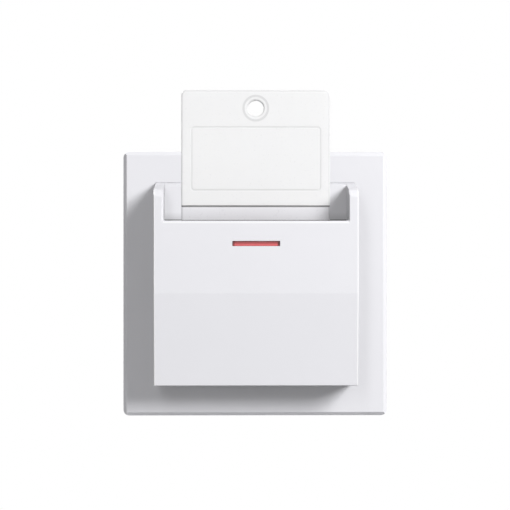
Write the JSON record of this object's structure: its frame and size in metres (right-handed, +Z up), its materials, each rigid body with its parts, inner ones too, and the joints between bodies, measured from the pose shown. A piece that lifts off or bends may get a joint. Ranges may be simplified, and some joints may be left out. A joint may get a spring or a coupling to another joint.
{
  "type": "hotel key card switch",
  "caption": "Square wall-mounted key card switch: card holder with side ears on a frame plate, a key tag in its slot, a changeover mechanism, terminals and claws behind.",
  "frame": {"origin": "middle of the wall face, midway between the strap's two level screw slots", "axes": "+X to the right seen from the front, +Y into the wall, +Z up"},
  "size_m": [0.081, 0.05, 0.0991],
  "materials": {
    "white_plastic": "satin moulded white",
    "tag_plastic": "smooth moulded white",
    "red_lens": "translucent red",
    "grey_plastic": "matt moulded light grey",
    "zinc_steel": "bright zinc plate",
    "spring_steel": "bare spring steel",
    "brass_sheet": "stamped brass",
    "board_laminate": "green solder mask",
    "resistor_lacquer": "lacquered"
  },
  "bodies": {
    "switch_body": {"frame_plate": "white_plastic", "front_cover": "white_plastic", "card_guide": "white_plastic", "indicator_lens": "red_lens", "return_spring": "spring_steel", "card_clamp": "spring_steel", "rocker_pin": "spring_steel", "common_bracket": "brass_sheet", "contact_on": "brass_sheet", "contact_off": "brass_sheet", "terminal_blocks": "brass_sheet", "terminal_screws": "zinc_steel", "lamp_board": "board_laminate", "lamp_led": "red_lens", "lamp_resistor": "resistor_lacquer", "lamp_pins": "brass_sheet", "carrier_plate": "grey_plastic", "rear_housing": "grey_plastic", "assembly_screws": "zinc_steel", "mounting_strap": "zinc_steel", "claw_pins": "zinc_steel", "claw_screws": "zinc_steel"},
    "card_slide": {"card_slider": "grey_plastic"},
    "tag": {"key_tag": "tag_plastic"},
    "rocker": {"rocker_lever": "grey_plastic", "moving_contact": "brass_sheet"},
    "left_claw": {"claw_left": "zinc_steel"},
    "right_claw": {"claw_right": "zinc_steel"}
  },
  "joints": [
    {"name": "slide_press", "type": "slide", "parent": "switch_body", "child": "card_slide", "axis": [0, 0, 1], "range_m": [0, 0.004], "stiffness_N_per_m": 5, "springref_m": 0.012, "deforming": ["return_spring"]},
    {"name": "tag_pull", "type": "slide", "parent": "card_slide", "child": "tag", "axis": [0, 0, 1], "range_m": [0, 0.07]},
    {"name": "rocker_turn", "type": "hinge", "parent": "switch_body", "child": "rocker", "pos_m": [0, 0.012, 0], "axis": [1, 0, 0], "range_deg": [-19.2, 0]},
    {"name": "left_claw_spread", "type": "hinge", "parent": "switch_body", "child": "left_claw", "pos_m": [-0.0224, 0.0019, -0.009], "axis": [0, 0, 1], "range_deg": [0, 21]},
    {"name": "right_claw_spread", "type": "hinge", "parent": "switch_body", "child": "right_claw", "pos_m": [0.0224, 0.0019, 0.009], "axis": [0, 0, -1], "range_deg": [0, 21]}
  ],
  "couplings": [
    {"joint": "rocker_turn", "follows": "slide_press", "rad_per_m": -83.333}
  ]
}
